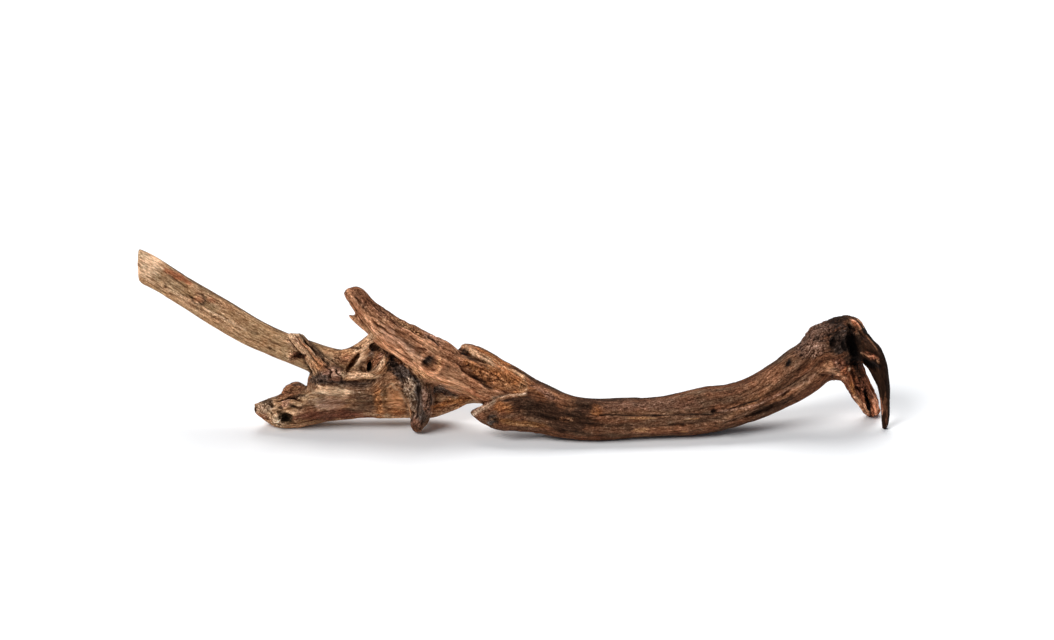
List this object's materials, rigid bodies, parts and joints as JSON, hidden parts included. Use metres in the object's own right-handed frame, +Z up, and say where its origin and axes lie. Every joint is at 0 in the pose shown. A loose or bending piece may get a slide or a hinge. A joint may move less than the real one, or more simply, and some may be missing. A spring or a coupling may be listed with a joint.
{
  "type": "driftwood",
  "caption": "Long weathered driftwood branch: a slender cut limb, a broken stub and beak at a hollowed fork, a curving trunk and a hooked, clawed root head",
  "frame": {"origin": "the middle of the flat resting spot under the trunk's belly, on the surface that the piece lies on", "axes": "+X along the piece from the cut limb to the clawed head, +Y to the back as it lies, +Z up"},
  "size_m": [0.5651, 0.0848, 0.1262],
  "materials": {
    "weathered_wood": "dry, matt, weathered"
  },
  "bodies": {
    "root": {"driftwood": "weathered_wood"}
  },
  "joints": []
}
